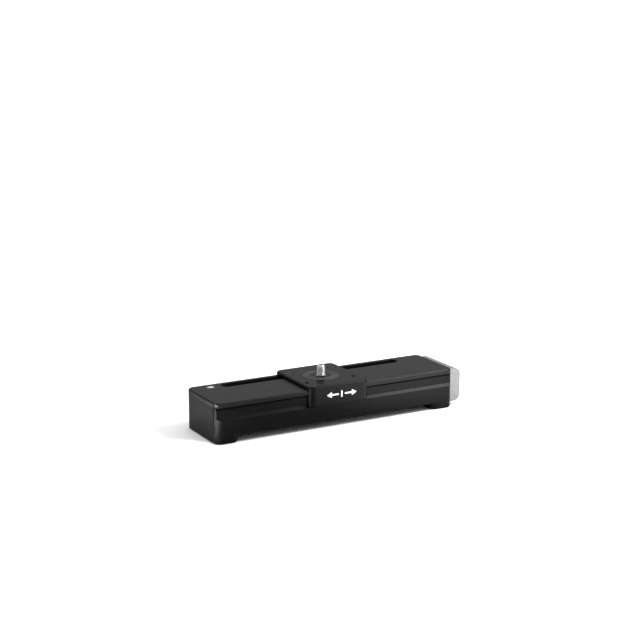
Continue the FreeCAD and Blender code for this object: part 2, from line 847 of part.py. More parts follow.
def tension_screw():
    head = rod("X", "2.6", "1.8", ("-142.6", "belt_middle", "8"))
    shank = rod("X", "screw_radius", "3.6", ("-140.8", "belt_middle", "8"))
    socket = rod("X", "1.2", "1.2", ("-142.7", "belt_middle", "8"))
    return label("tension_screw", cut(join(head, shank), socket))


# ---- electronics and button ----

def control_board():
    board = block(("-141", "-30", "wall + 3"), ("-117", "3", "wall + 4.6"))
    holes = [rod("Z", "small_screw", "4", (along, across, "wall + 2")) for along, across in BOARD_POSTS]
    return label("control_board", cut(board, *holes))


BOARD_POSTS = grid(("-138.5", "-119.5"), ("-27.5", "0.5"))


def board_posts():
    """Stand-offs between the floor and the board, with a pin through it."""
    posts = []
    for along, across in BOARD_POSTS:
        foot = rod("Z", "2", "3", (along, across, "wall"))
        pin = rod("Z", "small_screw", "2.4", (along, across, "wall + 3"))
        posts.append(join(foot, pin))
    return label("board_posts", group(*posts))


def board_parts():
    """Driver chip, coil, capacitors and plug of the board."""
    top = "wall + 4.6"
    chip = block(("-133", "-16", top), ("-125", "-8", f"{top} + 1.2"))
    coil = ease(block(("-138", "-23", top), ("-131", "-17.5", f"{top} + 3")), 1, is_upright)
    cans = [rod("Z", "2", "5", (along, "-22", top)) for along in ("-127", "-122")]
    plug = block(("-123.5", "-13", top), ("-119", "-4", f"{top} + 4"))
    return label("board_parts", group(chip, coil, *cans, plug))


def limit_switches():
    """End-of-travel sensors on the rail's floor, under the truck's path."""
    bodies = [block((along, "-10", "wall"), (f"{along} + 6", "-4", "wall + 5")) for along in ("-108", "102")]
    return label("limit_switches", group(*bodies))


def motor_cable():
    """Flat ribbon along the floor, from the board to the motor."""
    return label("motor_cable", block(("-116.5", "-35", "wall"), ("114", "-30.5", "wall + 0.8")))


def power_button():
    stem = button_block("0", "lid_low - 1.5", "lid_top + button_proud")
    near = ("-button_reach - button_length / 2 - 1", "slot_shift - button_width / 2 - 1", "lid_low - 2.5")
    far = ("-button_reach + button_length / 2 + 1", "slot_shift + button_width / 2 + 1", "lid_low - 1")
    flange = block(near, far)
    nub = rod("Z", "2", "1.2", ("-button_reach", "slot_shift", "lid_low - 3.6"))
    return label("power_button", ease(join(stem, ease(flange, 1, is_upright), nub), 0.5,
                                      lies_at(value("lid_top") + value("button_proud"))))


def button_board():
    return label("button_board", block(("-139", "19.2", "24"), ("-119", "32.5", "25.4")))


def button_switch():
    """Push switch under the button, with its own return spring."""
    body = block(("-button_reach - 3", "slot_shift - 3", "25.4"),
                 ("-button_reach + 3", "slot_shift + 3", "28"))
    plunger = rod("Z", "1.5", "1.2", ("-button_reach", "slot_shift", "28"))
    return label("button_switch", join(body, plunger))


# ---- grey end module ----

def module_section(skin):
    """Outline in X and Z of the module, less a skin all round its outer side."""
    wall = "rail_length / 2"
    return [(wall, f"module_low + {skin}"), (f"{wall} + module_depth - {skin}", f"module_low + {skin}"),
            (f"{wall} + module_depth - {skin}", f"module_top - {skin}"), (wall, f"module_top - {skin}")]


def module_solid(skin, radius):
    body = doc.addObject("PartDesign::Body", "Module")
    pad(body, polygon(body, "XZ_Plane", module_section(skin)), f"module_width - 2 * {skin}", True)
    outer = value("rail_length") / 2 + value("module_depth") - (0 if skin == "0" else value(skin))
    round_edges(body, radius, lambda edge: edge.BoundBox.XMin > outer - 0.01
                and edge.BoundBox.YLength > 10)
    return body


def port_block(gap, near, far):
    """Rounded block on the charging socket's axis, larger than its shell by a gap all round."""
    low = (f"rail_length / 2 + usb_out - usb_thick / 2 - {gap}", near, f"usb_height - usb_tall / 2 - {gap}")
    high = (f"rail_length / 2 + usb_out + usb_thick / 2 + {gap}", far, f"usb_height + usb_tall / 2 + {gap}")
    return ease(block(low, high), 1.2, runs_across)


def module_housing():
    """Light shell on the right end, round on its outer side."""
    outer = module_solid("0", "module_round")
    round_edges(outer, "edge_round", lambda edge: edge.BoundBox.YLength < 0.01
                and edge.BoundBox.XMax > value("rail_length") / 2 + 0.1)
    inner = module_solid("module_skin", "module_round - module_skin")
    port = port_block("usb_gap", "module_width / 2 - 4", "module_width / 2 + 1")
    return label("module_housing", cut(outer, inner, port))


def module_plate():
    """Inner plate that hooks the module onto the end cap."""
    low = ("rail_length / 2", "-module_width / 2 + module_skin + 0.1", "module_low + module_skin + 0.1")
    high = ("rail_length / 2 + 1.5", "module_width / 2 - module_skin - 0.1", "module_top - module_skin - 0.1")
    return label("module_plate", block(low, high))


def battery_cell():
    low = ("rail_length / 2 + 1.6", "-30", "4.5")
    high = ("rail_length / 2 + 10.6", "18", "31")
    return label("battery_cell", ease(block(low, high), 2, runs_across))


def usb_port():
    """Metal shell of the charging socket, with its tongue."""
    back = "module_width / 2 - usb_depth"
    shell = port_block("0", back, "module_width / 2")
    mouth = port_block("-usb_wall", f"{back} + 2 * usb_wall", "module_width / 2 + 1")
    reach = "(usb_tall / 2 - 1.5)"
    middle = "rail_length / 2 + usb_out"
    tongue = block((f"{middle} - usb_wall", f"{back} + usb_wall", f"usb_height - {reach}"),
                   (f"{middle} + usb_wall", "module_width / 2 - 1.4", f"usb_height + {reach}"))
    return label("usb_port", join(cut(shell, mouth), tongue))


def module_board():
    near = "rail_length / 2 + usb_out + usb_thick / 2 + 0.2"
    return label("module_board", block((near, "19", "6"), (f"{near} + 1", "module_width / 2 - 2.2", "30")))


def build_parts():
    rail_body()
    top_plate()
    end_cap("end_cap_left", -1)
    end_cap("end_cap_right", 1)
    foot_pad("foot_pad_left", -1)
    foot_pad("foot_pad_right", 1)
    foot_screws()
    lid_screws()
    floor_screws()
    tripod_plate()
    tripod_bush_center()
    tripod_bush_sides()
    guide_rod("guide_rod_front", "-rod_spread")
    guide_rod("guide_rod_rear", "rod_spread")
    motor_bracket()
    motor_can()
    motor_end_bell()
    motor_bearings()
    motor_rotor()
    motor_shaft()
    drive_pulley()
    timing_belt()
    idler_bracket()
    idler_axle()
    idler_bearings()
    idler_pulley()
    tension_screw()
    control_board()
    board_posts()
    board_parts()
    limit_switches()
    motor_cable()
    button_board()
    button_switch()
    power_button()
    module_housing()
    module_plate()
    module_board()
    battery_cell()
    usb_port()
    carriage_plate()
    apron("front_apron", -1)
    apron("rear_apron", 1)
    carriage_neck()
    plate_screws()
    neck_screws()
    apron_pins()
    truck_block()
    for number, (along, across) in enumerate(grid(("-bearing_spread", "bearing_spread"),
                                                  ("-rod_spread", "rod_spread")), start=1):
        linear_bearing(number, along, across)
    belt_clamp_base()
    belt_clamp_cap()
    label("clamp_screws", group(*clamp_screws()))
    camera_stud()
    camera_pad()
    glide_pads()


def check_document():
    doc.recompute()
    for item in doc.Objects:
        if "Invalid" in item.State or "Error" in item.State:
            raise RuntimeError(f"{item.Name} ({item.Label}) is {item.State}")
    for part in PARTS:
        shape = part.Shape
        if shape.isNull() or not shape.isValid() or not shape.Solids:
            raise RuntimeError(f"{part.Label} has no valid solid")


def write_parts():
    os.makedirs("parts", exist_ok=True)
    for part in PARTS:
        part.Shape.exportStep(f"parts/{part.Label}.step")
        box = part.Shape.BoundBox
        print(f"{part.Label:22s} {len(part.Shape.Solids)} {part.Shape.Volume:10.1f}  "
              f"X {box.XMin:8.2f} {box.XMax:8.2f}  Y {box.YMin:7.2f} {box.YMax:7.2f}  "
              f"Z {box.ZMin:7.2f} {box.ZMax:7.2f}")


fill_sheet()
build_parts()
check_document()
write_parts()
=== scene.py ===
"""Looks of the compact motorised camera slider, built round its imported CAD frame.

Lengths are in metres, in the frame of the CAD: X along the rail, Y to the back, Z up, with the
origin at the tripod socket on the rail's underside.
"""

import json
import math

import bmesh
import bpy
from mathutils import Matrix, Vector


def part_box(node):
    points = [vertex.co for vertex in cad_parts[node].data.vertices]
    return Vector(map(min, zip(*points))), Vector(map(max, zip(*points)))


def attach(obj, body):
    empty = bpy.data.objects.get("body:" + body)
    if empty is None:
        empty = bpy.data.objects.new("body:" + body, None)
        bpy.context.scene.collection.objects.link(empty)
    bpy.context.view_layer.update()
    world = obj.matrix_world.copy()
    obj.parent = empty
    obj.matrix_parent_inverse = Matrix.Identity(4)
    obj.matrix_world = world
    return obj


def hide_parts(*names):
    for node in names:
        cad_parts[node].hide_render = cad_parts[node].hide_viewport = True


MM = 0.001
INCH = 25.4 * MM

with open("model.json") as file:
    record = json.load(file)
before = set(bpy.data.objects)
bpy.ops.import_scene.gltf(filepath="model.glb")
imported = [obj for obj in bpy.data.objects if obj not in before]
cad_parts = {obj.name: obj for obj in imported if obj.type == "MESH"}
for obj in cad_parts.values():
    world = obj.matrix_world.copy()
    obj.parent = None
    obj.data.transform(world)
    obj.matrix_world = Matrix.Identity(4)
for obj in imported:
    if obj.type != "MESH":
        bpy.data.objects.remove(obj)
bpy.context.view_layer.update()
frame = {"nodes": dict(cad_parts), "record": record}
nodes = frame["nodes"]


# ---- meshes ----

def add_piece(name, vertices, faces, material, body=None, smooth_angle=None):
    """Mesh object from plain lists, riding on a CAD body."""
    mesh = bpy.data.meshes.new(name)
    mesh.from_pydata([tuple(v) for v in vertices], [], faces)
    clean = bmesh.new()
    clean.from_mesh(mesh)
    bmesh.ops.recalc_face_normals(clean, faces=clean.faces)
    clean.to_mesh(mesh)
    clean.free()
    mesh.update()
    piece = bpy.data.objects.new(name, mesh)
    bpy.context.scene.collection.objects.link(piece)
    mesh.materials.append(material)
    if smooth_angle is not None:
        mesh.shade_smooth()
        mesh.set_sharp_from_angle(angle=math.radians(smooth_angle))
    if body:
        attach(piece, body)
    return piece


def ring_of(centre, radius, height, segments):
    """Circle of points about an upright axis; the radius may be a function of the angle."""
    points = []
    for step in range(segments):
        angle = 2 * math.pi * step / segments
        reach = radius(angle) if callable(radius) else radius
        points.append((centre[0] + reach * math.cos(angle), centre[1] + reach * math.sin(angle), height))
    return points


def add_lathe(vertices, faces, rows, segments, closed_profile):
    """Add rings of equal length, joined to each other; gives the index of the first new vertex."""
    base = len(vertices)
    count = len(rows)
    for row in range(count if closed_profile else count - 1):
        this = base + row * segments
        after = base + (row + 1) % count * segments
        for step in range(segments):
            turn = (step + 1) % segments
            faces.append((this + step, this + turn, after + turn, after + step))
    for ring in rows:
        vertices.extend(ring)
    return base


def bridge_rings(vertices, faces, outer, inner, centre):
    """Triangles between two rings of different counts on one face."""
    def bearing(index):
        point = vertices[index]
        return math.atan2(point[1] - centre[1], point[0] - centre[0]) % (2 * math.pi)

    past_all = 10.0
    outer = sorted(outer, key=bearing)
    inner = sorted(inner, key=bearing)
    step_out = step_in = 0
    while step_out < len(outer) or step_in < len(inner):
        next_out = bearing(outer[step_out]) if step_out < len(outer) else past_all
        next_in = bearing(inner[step_in]) if step_in < len(inner) else past_all
        if next_out <= next_in:
            corner = outer[(step_out + 1) % len(outer)]
            faces.append((outer[step_out], corner, inner[step_in % len(inner)]))
            step_out += 1
        else:
            corner = inner[(step_in + 1) % len(inner)]
            faces.append((inner[step_in], outer[step_out % len(outer)], corner))
            step_in += 1


def sink_hexagon(vertices, faces, rim, segments, centre, reach, turn, mouth, floor):
    """Hexagon socket inside a ring of vertices that starts at index rim."""
    angles = [math.radians(60 * k + turn) for k in range(6)]
    hexagon = [(centre[0] + reach * math.cos(angle), centre[1] + reach * math.sin(angle)) for angle in angles]
    first = len(vertices)
    for height in (mouth, floor):
        vertices.extend((x, y, height) for x, y in hexagon)
    ring = list(range(rim, rim + segments))
    bridge_rings(vertices, faces, ring, [first + k for k in range(6)], centre)
    for k in range(6):
        after = (k + 1) % 6
        faces.append((first + k, first + after, first + 6 + after, first + 6 + k))
    faces.append(tuple(first + 6 + k for k in range(6)))


def thread_radius(angle, height, crest, root, pitch):
    """Radius of a V thread at an angle and a height; a tenth of the pitch is flat at crest and at root."""
    flat = 0.1
    phase = (height / pitch - angle / (2 * math.pi)) % 1.0
    from_crest = abs(phase - 0.5) * 2
    drop = min(1.0, max(0.0, (from_crest - flat) / (1 - 2 * flat)))
    return crest + (root - crest) * drop


def spots_of(cad, face_up):
    """Centre, end height and length of each separate screw or bush in a CAD set."""
    loose = bmesh.new()
    loose.from_mesh(cad.data)
    bmesh.ops.remove_doubles(loose, verts=loose.verts, dist=1e-7)
    seen = set()
    spots = []
    for start in loose.verts:
        if start in seen:
            continue
        stack, island = [start], []
        seen.add(start)
        while stack:
            vert = stack.pop()
            island.append(vert.co.copy())
            for edge in vert.link_edges:
                other = edge.other_vert(vert)
                if other not in seen:
                    seen.add(other)
                    stack.append(other)
        low = Vector(min(p[k] for p in island) for k in range(3))
        high = Vector(max(p[k] for p in island) for k in range(3))
        face = high.z if face_up else low.z
        spots.append(((low.x + high.x) / 2, (low.y + high.y) / 2, face, high.z - low.z))
    loose.free()
    return sorted(spots)


# ---- materials ----

class Nodes:
    """Small helper that builds a material's node tree."""

    def __init__(self, name):
        self.material = bpy.data.materials.new(name)
        self.material.use_nodes = True
        self.tree = self.material.node_tree
        self.shader = self.tree.nodes["Principled BSDF"]

    def add(self, kind, inputs=None, **settings):
        node = self.tree.nodes.new(kind)
        for key, setting in settings.items():
            setattr(node, key, setting)
        for key, source in (inputs or {}).items():
            self.feed(node.inputs[key], source)
        return node

    def feed(self, socket, source):
        if isinstance(source, bpy.types.NodeSocket):
            self.tree.links.new(source, socket)
        else:
            socket.default_value = source

    def place(self, stretch=(1, 1, 1)):
        """Object coordinates, stretched; the frame's own metres."""
        where = self.add("ShaderNodeTexCoord").outputs["Object"]
        return self.add("ShaderNodeMapping", {"Vector": where, "Scale": stretch}).outputs["Vector"]

    def noise(self, cell, detail=2.0, rough=0.5, stretch=(1, 1, 1)):
        """Noise whose features are about one cell across, in metres."""
        return self.add("ShaderNodeTexNoise", {"Vector": self.place(stretch), "Scale": 1 / cell,
                                               "Detail": detail, "Roughness": rough}).outputs["Fac"]

    def span(self, source, low, high, start=0.0, end=1.0):
        """Map the range from start to end onto the range from low to high."""
        return self.add("ShaderNodeMapRange", {"Value": source, "From Min": start, "From Max": end,
                                               "To Min": low, "To Max": high}).outputs["Result"]

    def around(self, source, middle, below, above):
        """Map 0 to 1 onto a range about a middle value."""
        return self.span(source, middle - below, middle + above)

    def maths(self, first, second, operation="ADD"):
        return self.add("ShaderNodeMath", {0: first, 1: second}, operation=operation).outputs[0]

    def blend(self, amount, first, second):
        mix = self.add("ShaderNodeMix", data_type="RGBA")
        self.feed(mix.inputs[0], amount)
        self.feed(mix.inputs[6], first)
        self.feed(mix.inputs[7], second)
        return mix.outputs[2]

    def rounded(self, edge):
        """Normal with sharp edges broken to a radius, in metres."""
        return self.add("ShaderNodeBevel", {"Radius": edge}, samples=6).outputs["Normal"]

    def edges(self, reach):
        """0 on flats, rising to 1 along sharp edges."""
        flat = self.add("ShaderNodeNewGeometry").outputs["True Normal"]
        both = self.add("ShaderNodeVectorMath", {0: self.rounded(reach), 1: flat}, operation="DOT_PRODUCT")
        return self.span(both.outputs["Value"], 1.0, 0.0, 0.8, 0.99)

    def bump(self, height, depth, strength, edge=0.0):
        """Fine relief; edge is the radius to which sharp edges are broken, in metres."""
        node = self.add("ShaderNodeBump", {"Height": height, "Distance": depth, "Strength": strength})
        if edge:
            self.feed(node.inputs["Normal"], self.rounded(edge))
        self.feed(self.shader.inputs["Normal"], node.outputs["Normal"])

    def finish(self, **values):
        """Set the shader's inputs; underscores in their names stand for spaces."""
        for key, source in values.items():
            self.feed(self.shader.inputs[key.replace("_", " ")], source)
        return self.material


COOL = (0.97, 1.0, 1.05)
DUSTY = (1.03, 1.0, 0.96)
NEUTRAL = (1.0, 1.0, 1.0)


def grey(level, tint=NEUTRAL):
    return (level * tint[0], level * tint[1], level * tint[2], 1.0)


def scaled(color, factor):
    """Opaque colour, lightened or darkened."""
    return tuple(min(1.0, c * factor) for c in color) + (1.0,)


def anodised(name, level, rough, ior, drag=None):
    """Bead-blasted black anodised aluminium, its edges lightened in patches partly as wear and partly as a
    painted highlight; drag is the stretch of faint extrusion lines.
    """
    edge_wear_and_highlight_level = 3.2 * level
    edge_wear_and_highlight_reach = 0.25 * MM
    broken_edge = 0.3 * MM
    relief = 0.012 * MM
    made = Nodes(name)
    grain = made.noise(0.22 * MM, detail=3.0, rough=0.6)
    cloud = made.noise(28 * MM, detail=4.0, rough=0.55)
    smudge = made.noise(9 * MM, detail=5.0, rough=0.6, stretch=(0.6, 1.4, 1.0))
    tone = made.blend(cloud, grey(level * 0.88, COOL), grey(level * 1.12, COOL))
    # Lighter tone in patches along edges: partly worn anodising, partly a painted edge highlight
    edges = made.edges(edge_wear_and_highlight_reach)
    wear_and_highlight_patches = made.span(made.noise(1.6 * MM, detail=3.0), 0.0, 0.5, start=0.42, end=0.7)
    tone = made.blend(made.maths(edges, wear_and_highlight_patches, "MULTIPLY"), tone, grey(edge_wear_and_highlight_level, COOL))
    sheen = made.maths(made.span(smudge, -0.035, 0.045), made.around(grain, rough, 0.03, 0.03))
    height = grain
    if drag:
        lines = made.noise(0.35 * MM, stretch=drag)
        height = made.maths(grain, made.maths(lines, 0.6, "MULTIPLY"))
        sheen = made.maths(sheen, made.around(lines, 0.0, 0.03, 0.03))
    made.bump(height, relief, 0.55, broken_edge)
    return made.finish(Base_Color=tone, Roughness=sheen, Metallic=0.0, IOR=ior)


def rubber(name, level=0.012, rough=0.72):
    """Matte black rubber with a little dust."""
    made = Nodes(name)
    grain = made.noise(0.4 * MM, detail=4.0, rough=0.65)
    dust = made.noise(6 * MM, detail=5.0, rough=0.6)
    dusted = made.span(dust, 0.0, 0.5, start=0.45, end=0.8)
    made.bump(grain, 0.03 * MM, 0.7)
    return made.finish(Base_Color=made.blend(dusted, grey(level), grey(level * 2.6, DUSTY)),
                       Roughness=made.around(dust, rough, 0.06, 0.1), IOR=1.48)


def metal(name, color, rough, stretch=(1, 1, 1), cell=0.3 * MM, depth=0.004 * MM):
    """Bare metal with fine tool marks along its stretch."""
    made = Nodes(name)
    marks = made.noise(cell, detail=3.0, rough=0.6, stretch=stretch)
    stain = made.noise(7 * MM, detail=4.0, rough=0.55)
    stained = made.span(stain, 0.0, 1.0, start=0.35, end=0.7)
    made.bump(marks, depth, 0.6)
    sheen = made.maths(made.around(marks, rough, 0.05, 0.07), made.span(stain, -0.02, 0.05))
    return made.finish(Base_Color=made.blend(stained, scaled(color, 0.82), scaled(color, 1.0)),
                       Roughness=sheen, Metallic=1.0)


def plastic(name, color, rough, cell=0.5 * MM, depth=0.02 * MM, spread=0.06):
    """Moulded plastic with a spark-eroded texture."""
    made = Nodes(name)
    grain = made.noise(cell, detail=3.0, rough=0.6)
    cloud = made.noise(16 * MM, detail=3.0)
    made.bump(grain, depth, 0.5)
    return made.finish(Base_Color=made.blend(cloud, scaled(color, 1 - spread), scaled(color, 1 + spread)),
                       Roughness=made.around(grain, rough, 0.05, 0.07), IOR=1.49)


def board_finish(name):
    """Green solder mask with faint copper tracks below it."""
    tracks_per_metre = 160.0
    under_mask = (0.006, 0.06, 0.022, 1.0)
    over_copper = (0.012, 0.12, 0.045, 1.0)
    made = Nodes(name)
    tracks = made.add("ShaderNodeTexBrick", {"Vector": made.place(), "Scale": tracks_per_metre,
                                             "Mortar Size": 0.06, "Color1": grey(0.0),
                                             "Color2": grey(0.25), "Mortar": grey(1.0)}).outputs["Color"]
    speck = made.noise(1.2 * MM)
    made.bump(made.maths(speck, tracks), 0.02 * MM, 0.5)
    return made.finish(Base_Color=made.blend(tracks, under_mask, over_copper),
                       Roughness=made.span(speck, 0.26, 0.36))


ALONG_RAIL = (0.012, 1.0, 1.0)
MILLED = (0.1, 1.0, 1.0)
TURNED = (0.1, 0.1, 1.0)
GROUND = (1.0, 0.05, 0.05)
GROUND_RACE = (1.0, 0.1, 0.1)

finishes = {
    "rail_black": anodised("rail_anodised", 0.003, 0.24, 1.118, ALONG_RAIL),
    "lid_black": anodised("lid_anodised", 0.005, 0.36, 1.165),
    "carriage_black": anodised("carriage_anodised", 0.0025, 0.26, 1.125),
    "foot_rubber": rubber("foot_rubber"),
    "grip_rubber": rubber("grip_rubber", 0.014, 0.66),
    "black_screws": metal("black_oxide", (0.035, 0.035, 0.037), 0.34),
    "bare_aluminium": metal("milled_aluminium", (0.62, 0.62, 0.63), 0.32, MILLED),
    "rod_steel": metal("ground_rod", (0.66, 0.66, 0.67), 0.12, GROUND, 0.2 * MM, 0.001 * MM),
    "insert_steel": metal("turned_steel", (0.56, 0.55, 0.53), 0.25, TURNED, 0.2 * MM),
    "bearing_steel": metal("bearing_steel", (0.5, 0.5, 0.5), 0.22, GROUND_RACE),
    "motor_metal": metal("motor_zinc", (0.09, 0.09, 0.095), 0.4),
    "belt_rubber": rubber("belt_rubber", 0.01, 0.6),
    "board_green": board_finish("solder_mask"),
    "chip_black": plastic("chip_epoxy", (0.012, 0.012, 0.013), 0.45),
    "post_brass": metal("turned_brass", (0.7, 0.48, 0.18), 0.28, TURNED),
    "cable_grey": plastic("ribbon_sleeve", (0.3, 0.3, 0.32), 0.5),
    "button_grey": plastic("button_acrylic", (0.2, 0.2, 0.205), 0.35, 0.4 * MM, 0.005 * MM, 0.02),
    "module_grey": plastic("module_shell", (0.128, 0.128, 0.126), 0.48, 0.45 * MM, 0.02 * MM, 0.03),
    "cell_wrap": plastic("cell_wrap", (0.02, 0.06, 0.2), 0.25, 1.5 * MM, 0.02 * MM),
    "glide_white": plastic("acetal", (0.72, 0.72, 0.7), 0.38),
}
white_print = plastic("white_print", (0.86, 0.86, 0.86), 0.5, 0.3 * MM, 0.003 * MM, 0.01)
slot_of = {row["node"]: row["material_slot"] for row in frame["record"]["subparts"]}
for node_name, node in nodes.items():
    node.data.materials.clear()
    node.data.materials.append(finishes[slot_of[node_name]])


# ---- threads ----

# Pitch, inner radius and outer radius
LARGE_THREAD = (INCH / 16, 3.97 * MM, 4.7625 * MM)
SMALL_THREAD = (INCH / 20, 2.55 * MM, 3.175 * MM)
# Rings of vertices in one turn of a thread
THREAD_STEPS = 14


def threaded_stud():
    """Camera stud with a real 3/8 inch thread above its collar, and a hexagon socket in its top."""
    pitch, root, crest = LARGE_THREAD
    low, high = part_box("camera_stud")
    centre = ((low.x + high.x) / 2, (low.y + high.y) / 2)
    plate_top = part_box("carriage_plate")[1].z
    segments = 64
    collar = 5.45 * MM
    flange = 10.95 * MM
    flange_top = low.z + 1.85 * MM
    chamfer_depth = 1.0 * MM
    socket = 2.0 * MM
    socket_depth = 3.0 * MM
    start = plate_top + 0.05 * MM
    plain_part = ((flange, low.z), (flange, flange_top), (collar, flange_top), (collar, plate_top),
                  (root, plate_top))
    rows = [ring_of(centre, radius, height, segments) for radius, height in plain_part]
    count = int((high.z - start) / pitch * THREAD_STEPS)
    for index in range(count + 1):
        height = start + (high.z - start) * index / count
        lead_in = root + max(0.0, min(1.0, (height - start) / (0.5 * pitch))) * (crest - root)
        chamfer = crest - max(0.0, height - (high.z - chamfer_depth))
        limit = min(lead_in, chamfer)
        rows.append(ring_of(centre, lambda angle, z=height, top=limit:
                            min(top, thread_radius(angle, z, crest, root, pitch)), height, segments))
    vertices, faces = [], []
    add_lathe(vertices, faces, rows, segments, False)
    faces.append(tuple(range(segments)))
    rim = (len(rows) - 1) * segments
    sink_hexagon(vertices, faces, rim, segments, centre, socket, 30, high.z, high.z - socket_depth)
    piece = add_piece("stud_threaded", vertices, faces, finishes["insert_steel"], "carriage", 32)
    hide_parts("camera_stud")


def threaded_bushes(name, node, outer, thread):
    """Bushes with an internal thread and an eased mouth, in place of plain CAD bushes."""
    pitch, minor, major = thread
    vertices, faces = [], []
    segments = 64
    mouth = 0.5 * MM
    for x, y, low, length in spots_of(nodes[node], False):
        rows = [ring_of((x, y), outer, low, segments), ring_of((x, y), outer, low + length, segments)]
        steps = int(length / pitch * THREAD_STEPS)
        for index in range(steps + 1):
            height = low + length * (steps - index) / steps
            opened = major + 0.1 * MM - (height - low) if height - low < mouth else minor
            rows.append(ring_of((x, y), lambda angle, z=height, least=opened:
                                max(least, thread_radius(angle, z, minor, major, pitch)), height, segments))
        add_lathe(vertices, faces, rows, segments, True)
    piece = add_piece(name, vertices, faces, finishes["insert_steel"], "chassis", 32)
    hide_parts(node)


def plate_hole_threads():
    """Fine helical ridges on the walls of the two tapped holes in the carriage plate."""
    stud_low, stud_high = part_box("camera_stud")
    plate_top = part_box("carriage_plate")[1].z
    middle = (stud_low.x + stud_high.x) / 2
    hole_spread = 30 * MM
    hole_row = -22 * MM
    pitch, hole = SMALL_THREAD[:2]
    wall = hole + 0.02 * MM
    sunk = wall + 0.05 * MM
    ridge = 0.22 * MM
    top = plate_top - 0.4 * MM
    bottom = plate_top - 2.9 * MM
    segments = 48
    steps = int((top - bottom) / pitch * THREAD_STEPS)
    vertices, faces = [], []
    for side in (-1, 1):
        spot = (middle + side * hole_spread, hole_row)
        rows = []
        for index in range(steps + 1):
            height = bottom + (top - bottom) * index / steps
            fade = min(1.0, index / THREAD_STEPS, (steps - index) / THREAD_STEPS)
            rows.append(ring_of(spot, lambda angle, z=height, tip=wall - ridge * fade:
                                thread_radius(angle, z, tip, wall, pitch), height, segments))
        for height in (top, bottom):
            rows.append(ring_of(spot, sunk, height, segments))
        add_lathe(vertices, faces, rows, segments, True)
    piece = add_piece("plate_hole_threads", vertices, faces, finishes["carriage_black"], "carriage", 32)


# ---- the rubber ring and the screws ----

def ribbed_ring():
    """Rubber ring round the stud, with fine concentric ribs."""
    low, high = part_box("camera_pad")
    centre = ((low.x + high.x) / 2, (low.y + high.y) / 2)
    segments = 128
    inner = 12.05 * MM
    outer = (high.x - low.x) / 2
    ribs = 6
    depth = 0.3 * MM
    shoulder = 0.02 * MM
    pitch = (outer - inner) / ribs
    # Share of a rib's pitch and depth below the top, across one rib
    rib = ((0.0, depth), (0.12, depth * 0.9), (0.26, shoulder), (0.36, 0.0),
           (0.64, 0.0), (0.74, shoulder), (0.88, depth * 0.9))
    profile = [(inner, low.z)]
    for index in range(ribs):
        profile += [(inner + (index + share) * pitch, high.z - below) for share, below in rib]
    profile += [(outer, high.z - depth), (outer, low.z)]
    rows = [ring_of(centre, radius, height, segments) for radius, height in profile]
    vertices, faces = [], []
    add_lathe(vertices, faces, rows, segments, True)
    piece = add_piece("grip_ring", vertices, faces, finishes["grip_rubber"], "carriage", 50)
    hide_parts("camera_pad")


def build_screw(vertices, faces, spot, direction):
    """One countersunk screw: rounded rim, cone, shank and a bevelled hexagon socket."""
    x, y, face, length = spot
    segments = 48
    head = 2.9 * MM
    shank = 1.5 * MM
    tip = 0.3 * MM
    band = 0.25 * MM
    rounding = 0.12 * MM
    socket = 1.2 * MM
    socket_mouth = 1.45 * MM
    socket_bevel = 0.12 * MM
    socket_depth = 1.2 * MM
    profile = ((shank * 0.8, length), (shank, length - tip), (shank, head - shank), (head, band),
               (head, rounding), (head - rounding, 0.0), (socket_mouth, 0.0))
    rows = [ring_of((x, y), radius, face - direction * depth, segments) for radius, depth in profile]
    base = add_lathe(vertices, faces, rows, segments, False)
    faces.append(tuple(base + step for step in range(segments)))
    rim = base + (len(profile) - 1) * segments
    mouth = face - direction * socket_bevel
    floor = face - direction * socket_depth
    sink_hexagon(vertices, faces, rim, segments, (x, y), socket, 0, mouth, floor)


def countersunk_screws(name, node, face_up, body):
    """Countersunk screws with hexagon sockets, in place of a CAD set."""
    direction = 1 if face_up else -1
    vertices, faces = [], []
    for spot in spots_of(nodes[node], face_up):
        build_screw(vertices, faces, spot, direction)
    piece = add_piece(name, vertices, faces, finishes["black_screws"], body, 30)
    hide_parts(node)


threaded_stud()
ribbed_ring()
threaded_bushes("tripod_bush_threaded", "tripod_bush_center", 8.0 * MM, LARGE_THREAD)
threaded_bushes("side_bushes_threaded", "tripod_bush_sides", 5.0 * MM, SMALL_THREAD)
plate_hole_threads()
countersunk_screws("plate_screw_heads", "plate_screws", True, "carriage")
countersunk_screws("floor_screw_heads", "floor_screws", False, "chassis")


# ---- printed marks ----

# Outlines of the marks are in millimetres, in the plane of the print
PRINT_LIFT = 0.03 * MM


def print_mark(name, outlines, place, body):
    """Thin raised print: flat polygons, given in a plane, thickened by a hair."""
    vertices, faces = [], []
    for outline in outlines:
        base = len(vertices)
        count = len(outline)
        for lift in (0.0, PRINT_LIFT):
            faces.append(tuple(range(len(vertices), len(vertices) + count)))
            vertices += [place(u, v, lift) for u, v in outline]
        for k in range(count):
            after = (k + 1) % count
            faces.append((base + k, base + after, base + count + after, base + count + k))
    piece = add_piece(name, vertices, faces, white_print, body)


def bar(u0, v0, u1, v1):
    return [(u0, v0), (u1, v0), (u1, v1), (u0, v1)]


def arrow(side, tail, neck, tip, half_shaft, half_head):
    """Shaft and head of an arrow that points to one side."""
    near, far = sorted((side * tail, side * (neck + 0.1)))
    head = [(side * neck, -half_head), (side * tip, 0.0), (side * neck, half_head)]
    return [bar(near, -half_shaft, far, half_shaft), head[::side]]


def travel_mark():
    """Generic travel mark on the front apron: an arrow each way from a centre index."""
    low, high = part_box("front_apron")
    middle = (low.x + high.x) / 2 + 2.5 * MM
    height = low.z + 0.48 * (high.z - low.z)
    outlines = [bar(-0.9, -3.6, 0.9, 3.6)]
    for side in (-1, 1):
        outlines += arrow(side, 4.0, 13.0, 19.0, 0.9, 3.4)

    def place(u, v, lift):
        return (middle + u * MM, low.y - lift, height + v * MM)

    print_mark("travel_mark", outlines, place, "carriage")


